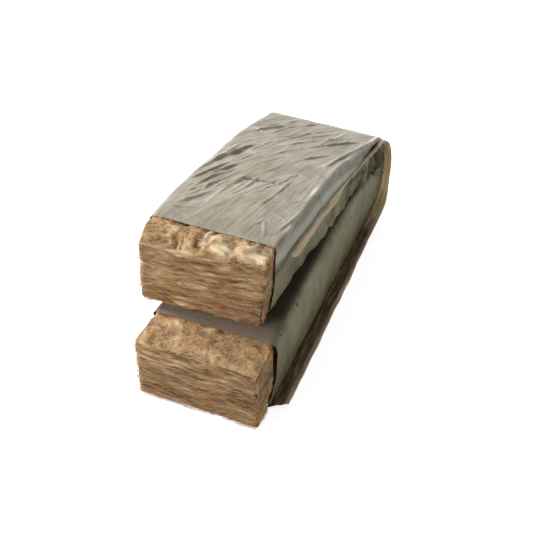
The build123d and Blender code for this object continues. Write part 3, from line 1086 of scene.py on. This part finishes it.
def add(tree, kind, **values):
    """A node with its inputs or settings given by name."""
    node = tree.nodes.new(kind)
    for key, value in values.items():
        if key in node.inputs:
            feed(tree, value, node.inputs[key])
        else:
            setattr(node, key, value)
    return node


def attribute(tree, name, output="Fac"):
    """A named attribute of the mesh."""
    return add(tree, "ShaderNodeAttribute", attribute_name=name).outputs[output]


def parts_of(tree, vector):
    """The three parts of a vector."""
    return add(tree, "ShaderNodeSeparateXYZ", Vector=vector).outputs


def strip(tree, scale, angle=None):
    """The piece's strip coordinates, turned in the film's plane if asked, then scaled along s, u and t."""
    vector = attribute(tree, "strip", "Vector")
    if angle is not None:
        vector = add(tree, "ShaderNodeMapping", Vector=vector, Rotation=(0, 0, angle)).outputs["Vector"]
    return add(tree, "ShaderNodeMapping", Vector=vector, Scale=scale).outputs["Vector"]


def noise_of(tree, vector, scale, detail, rough):
    """A noise texture's value on the given coordinates."""
    node = add(tree, "ShaderNodeTexNoise", Vector=vector, Scale=scale, Detail=detail, Roughness=rough)
    return node.outputs["Fac"]


def ramp(tree, value, *stops):
    """A colour ramp, each stop a place and an 8-bit screen colour."""
    node = add(tree, "ShaderNodeValToRGB", Fac=value)
    elements = node.color_ramp.elements
    while len(elements) < len(stops):
        elements.new(0.5)
    for element, (spot, *colour) in zip(elements, stops):
        element.position = spot
        element.color = srgb(*colour)
    return node.outputs["Color"]


def mix(tree, share, first, second):
    """Two colours mixed by a share, each an output or an 8-bit screen colour."""
    node = add(tree, "ShaderNodeMix", data_type="RGBA")
    for index, value in ((0, share), (6, first), (7, second)):
        feed(tree, srgb(*value) if isinstance(value, tuple) else value, node.inputs[index])
    return node.outputs[2]


def calculate(tree, operation, first, second=0.0):
    """A sum, product or other simple result of two values."""
    node = add(tree, "ShaderNodeMath", operation=operation)
    for value, socket in zip((first, second), node.inputs):
        feed(tree, value, socket)
    return node.outputs["Value"]


def remap(tree, value, low, high, new_low=0.0, new_high=1.0):
    """A value moved from one range to another, clamped."""
    limits = {"From Min": low, "From Max": high, "To Min": new_low, "To Max": new_high}
    return add(tree, "ShaderNodeMapRange", Value=value, **limits).outputs["Result"]


def tinted(tree, colour, tint, value, *limits):
    """A colour mixed with a tint by a value moved from one range to another."""
    return mix(tree, remap(tree, value, *limits), colour, tint)


def crease_lines(tree, vector, width):
    """Thin lines, 1 in their middle, where a noise passes its mean value."""
    value = calculate(tree, "SUBTRACT", noise_of(tree, vector, 1.0, 2, 0.5), 0.5)
    return remap(tree, calculate(tree, "ABSOLUTE", value), 0.0, width, 1.0, 0.0)


def paint(tree, shader, colour, roughness, specular):
    """Give a shader its colour, roughness and specular level."""
    tree.links.new(colour, shader.inputs["Base Color"])
    shader.inputs["Roughness"].default_value = roughness
    shader.inputs["Specular IOR Level"].default_value = specular


def bump(tree, shader, height, strength, distance):
    """A bump on the shader from a height."""
    node = add(tree, "ShaderNodeBump", Height=height, Strength=strength, Distance=distance)
    tree.links.new(node.outputs["Normal"], shader.inputs["Normal"])


def fibre_material():
    """Golden brown glass fibre: streaked along its layers, with rusty patches and painted shade in its
    crevices.
    """
    material, tree, shader = new_material("glass_fibre")
    streaks = noise_of(tree, strip(tree, (26, 24, 420)), 1.0, 5, 0.7)
    patches = noise_of(tree, strip(tree, (1, 1, 1)), 17.0, 3, 0.5)
    fine = noise_of(tree, strip(tree, (1, 1, 2)), 320.0, 3, 0.6)
    tone = calculate(tree, "ADD", attribute(tree, "tone"), remap(tree, streaks, 0.3, 0.7, -0.16, 0.16))
    tone = calculate(tree, "ADD", tone, remap(tree, fine, 0.35, 0.65, -0.07, 0.07))
    colour = ramp(tree, tone, (0.10, 92, 62, 36), (0.34, 150, 112, 72), (0.56, 190, 150, 104),
                  (0.78, 220, 186, 138), (1.0, 242, 226, 194))
    rusty = calculate(tree, "ADD", remap(tree, patches, 0.54, 0.68, 0.0, 0.35), attribute(tree, "rust"))
    colour = mix(tree, rusty, colour, (186, 112, 66))
    # Painted shade: the fibre darkens where its relief sinks into crevices.
    colour = tinted(tree, colour, (78, 50, 28), attribute(tree, "relief"), -0.0060, -0.0005, 0.62, 0.0)
    paint(tree, shader, colour, 0.95, 0.05)
    shader.inputs["Sheen Weight"].default_value = 0.08
    bump(tree, shader, fine, 0.5, 0.0015)
    return material


def strand_material():
    """Single glass fibres, from brown to cream."""
    material, tree, shader = new_material("loose_fibre")
    colour = ramp(tree, attribute(tree, "tone"), (0.15, 120, 86, 54), (0.5, 184, 146, 100),
                  (0.8, 222, 190, 144), (1.0, 244, 230, 200))
    paint(tree, shader, colour, 0.6, 0.3)
    return material


def facing_material():
    """Warm grey polyethylene film with fine slanting creases and painted highlights along them, a lighter
    grey band of painted light down its sides, painted shade tinted brown in its channel and painted
    highlights on its ridges.
    """
    material, tree, shader = new_material("facing_film")
    depth = parts_of(tree, attribute(tree, "strip", "Vector"))["Z"]
    cloud = noise_of(tree, strip(tree, (1, 1, 1)), 9.0, 4, 0.55)
    fine = noise_of(tree, strip(tree, (0.6, 1, 1)), 120.0, 5, 0.62)
    slanting = crease_lines(tree, strip(tree, (7, 46, 0), radians(22)), 0.055)
    crossing = crease_lines(tree, strip(tree, (10, 38, 0), radians(-68)), 0.040)
    colour = ramp(tree, cloud, (0.3, 148, 141, 125), (0.52, 166, 159, 143), (0.75, 184, 178, 163))
    colour = tinted(tree, colour, (138, 129, 112), fine, 0.42, 0.64, 0.0, 0.20)
    slanting = calculate(tree, "MULTIPLY", slanting, remap(tree, cloud, 0.42, 0.60))
    # Painted highlight: pale lines along the slanting creases.
    colour = mix(tree, calculate(tree, "MULTIPLY", slanting, 0.24), colour, (214, 209, 196))
    # Painted light: a lighter, cooler grey band down the film's sides, from 12 mm below the top.
    colour = tinted(tree, colour, (192, 191, 174), depth, 0.012, 0.026, 0.0, 0.7)
    # The tint attribute: painted highlights on the ridges, then painted shade, brown, in the channel and
    # along the seam.
    colour = tinted(tree, colour, (232, 226, 210), attribute(tree, "tint"), 0.0, 1.0, 0.0, 0.90)
    colour = tinted(tree, colour, (86, 66, 44), attribute(tree, "tint"), -1.0, 0.0, 0.95, 0.0)
    paint(tree, shader, colour, 0.36, 0.28)
    height = calculate(tree, "ADD", slanting, calculate(tree, "MULTIPLY", crossing, 0.5))
    height = calculate(tree, "ADD", height, calculate(tree, "MULTIPLY", fine, 0.9))
    bump(tree, shader, height, 0.45, 0.0014)
    return material


def perforated_material():
    """Olive thin film with small dark pin holes and painted shade, browner between the legs, where a painted
    shadow darkens it back from the front.
    """
    material, tree, shader = new_material("perforated_film")
    station = parts_of(tree, attribute(tree, "strip", "Vector"))["X"]
    cloud = noise_of(tree, strip(tree, (1, 0.6, 1)), 12.0, 4, 0.55)
    fine = noise_of(tree, strip(tree, (1, 1, 1)), 130.0, 4, 0.6)
    lines = crease_lines(tree, strip(tree, (30, 0, 9)), 0.050)
    holes = add(tree, "ShaderNodeTexVoronoi", Vector=strip(tree, (20, 0, 22)), Scale=1.0, Randomness=0.55)
    colour = ramp(tree, cloud, (0.3, 124, 119, 90), (0.55, 146, 141, 109), (0.75, 162, 157, 125))
    colour = mix(tree, calculate(tree, "MULTIPLY", lines, 0.22), colour, (176, 172, 144))
    colour = tinted(tree, colour, (44, 42, 30), holes.outputs["Distance"], 0.08, 0.13, 0.85, 0.0)
    # Between the legs the film turns browner, then darker back from the front: painted shadow of the upper
    # leg on the ledge.
    inwards = remap(tree, station, BARE_LOWER + 0.035, BARE_LOWER + 0.14)
    between = ramp(tree, inwards, (0.0, 144, 128, 113), (1.0, 46, 40, 32))
    colour = tinted(tree, colour, between, attribute(tree, "inner"), 0.0, 1.0, 0.0, 0.9)
    # Painted shade from the shade attribute: hollows, the crease's edge, under the flange and near the floor.
    colour = tinted(tree, colour, (40, 35, 26), attribute(tree, "shade"), 0.0, 1.0, 0.0, 0.88)
    paint(tree, shader, colour, 0.5, 0.12)
    bump(tree, shader, calculate(tree, "ADD", lines, fine), 0.4, 0.0014)
    return material


def flange_material():
    """Doubled film: brown along the floor, tan round the fold and where it hangs, that tan brightened almost
    to white as painted light, with painted shade at the root of its hanging part.
    """
    material, tree, shader = new_material("flange_film")
    station, across, hang = parts_of(tree, attribute(tree, "strip", "Vector"))
    streaks = noise_of(tree, strip(tree, (14, 7, 0)), 1.0, 5, 0.6)
    floor = ramp(tree, streaks, (0.3, 78, 60, 42), (0.55, 108, 88, 64), (0.72, 170, 150, 120))
    # Round the fold and where it hangs the tan is brightened almost to white: painted light, for parts turned
    # away from the lamps.
    fold = ramp(tree, streaks, (0.3, 228, 194, 140), (0.55, 248, 222, 172), (0.72, 252, 238, 204))
    hung_painted_light = ramp(tree, streaks, (0.3, 196, 164, 130), (0.55, 228, 208, 174), (0.72, 248, 238, 212))
    colour = mix(tree, remap(tree, station, FOLD_START - 0.15, FOLD_START + 0.1), floor, fold)
    colour = mix(tree, hang, colour, hung_painted_light)
    # Painted shade: darker at the root of the hanging flange, where it folds from the seam.
    root = calculate(tree, "MULTIPLY", remap(tree, across, 0.02, 0.42, 0.85, 0.0), hang)
    colour = mix(tree, root, colour, (84, 66, 48))
    colour = tinted(tree, colour, (236, 228, 204), across, 0.70, 0.92, 0.0, 0.60)
    paint(tree, shader, colour, 0.5, 0.12)
    bump(tree, shader, streaks, 0.4, 0.002)
    return material


# Stage

FLOOR_SIZE = 30
SKY_TOP = 0.26
SKY_SIDE = 0.24
SKY_BELOW = 0.08
FLOOR_GLOW = 0.75
FLOOR_DROP = 0.0005

# Lights: name, place, aim, size and power
LIGHTS = (
    ("key", (-2.7, 0.5, 2.1), (0, 0, 0.2), 1.2, 172),
    ("front", (-1.9, -2.8, 1.3), (0, -0.3, 0.2), 1.6, 66),
    ("side", (3.2, -2.0, 0.25), (0.2, 0, 0.2), 1.2, 38),
    ("back", (0.2, 3.2, 2.2), (0, 0.2, 0.3), 1.6, 16),
)


def make_sky():
    """A pale sky, brightest overhead."""
    world = bpy.data.worlds.new("sky")
    bpy.context.scene.world = world
    world.use_nodes = True
    tree = world.node_tree
    height = parts_of(tree, add(tree, "ShaderNodeTexCoord").outputs["Generated"])["Z"]
    above = remap(tree, height, 0.0, 1.0, SKY_SIDE, SKY_TOP)
    below = remap(tree, height, -0.15, 0.0, SKY_BELOW - SKY_SIDE, 0.0)
    strength = calculate(tree, "ADD", above, below)
    background = tree.nodes["Background"]
    background.inputs["Color"].default_value = (1, 1, 1, 1)
    tree.links.new(strength, background.inputs["Strength"])


def make_stage():
    """A pale floor and soft lights."""
    bpy.ops.mesh.primitive_plane_add(size=FLOOR_SIZE, location=(0, 0, -FLOOR_DROP))
    floor = bpy.context.object
    floor.name = "floor"
    floor.visible_diffuse = False
    material, _, shader = new_material("floor")
    shader.inputs["Base Color"].default_value = (0.9, 0.9, 0.9, 1)
    shader.inputs["Roughness"].default_value = 0.9
    shader.inputs["Emission Color"].default_value = (1, 1, 1, 1)
    shader.inputs["Emission Strength"].default_value = FLOOR_GLOW
    floor.data.materials.append(material)
    make_sky()
    for name, spot, aim, size, power in LIGHTS:
        data = bpy.data.lights.new(name, "AREA")
        data.energy = power
        data.size = size
        light = bpy.data.objects.new(name, data)
        light.location = spot
        light.rotation_euler = (Vector(aim) - Vector(spot)).to_track_quat("-Z", "Y").to_euler()
        bpy.context.scene.collection.objects.link(light)
    bpy.context.scene.view_settings.view_transform = "Standard"


def finish_piece(piece, material, slot, *nodes):
    """Give a piece its material, body and material slot, and hide the CAD nodes that it stands for. The slot
    argument is not used.
    """
    piece.data.materials.append(material)
    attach(piece, "root")
    if nodes:
        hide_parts(*nodes)


make_camera()
make_stage()
blanket = make_blanket()
end_fibres, top_fibres, edge_fibres = make_loose_fibres()
facing = make_facing_film()
perforated = make_perforated_film()
right_flange = make_flange("right_flange", True)
left_flange = make_flange("left_flange", False)
finish_piece(blanket, fibre_material(), "glass_fibre", "glass_fibre_blanket")
strand_look = strand_material()
finish_piece(end_fibres, strand_look, "glass_fibre")
finish_piece(top_fibres, strand_look, "glass_fibre")
finish_piece(edge_fibres, strand_look, "glass_fibre")
finish_piece(facing, facing_material(), "facing_film", "facing_film")
finish_piece(perforated, perforated_material(), "perforated_film", "perforated_film")
flange_look = flange_material()
finish_piece(right_flange, flange_look, "facing_film")
finish_piece(left_flange, flange_look, "facing_film")
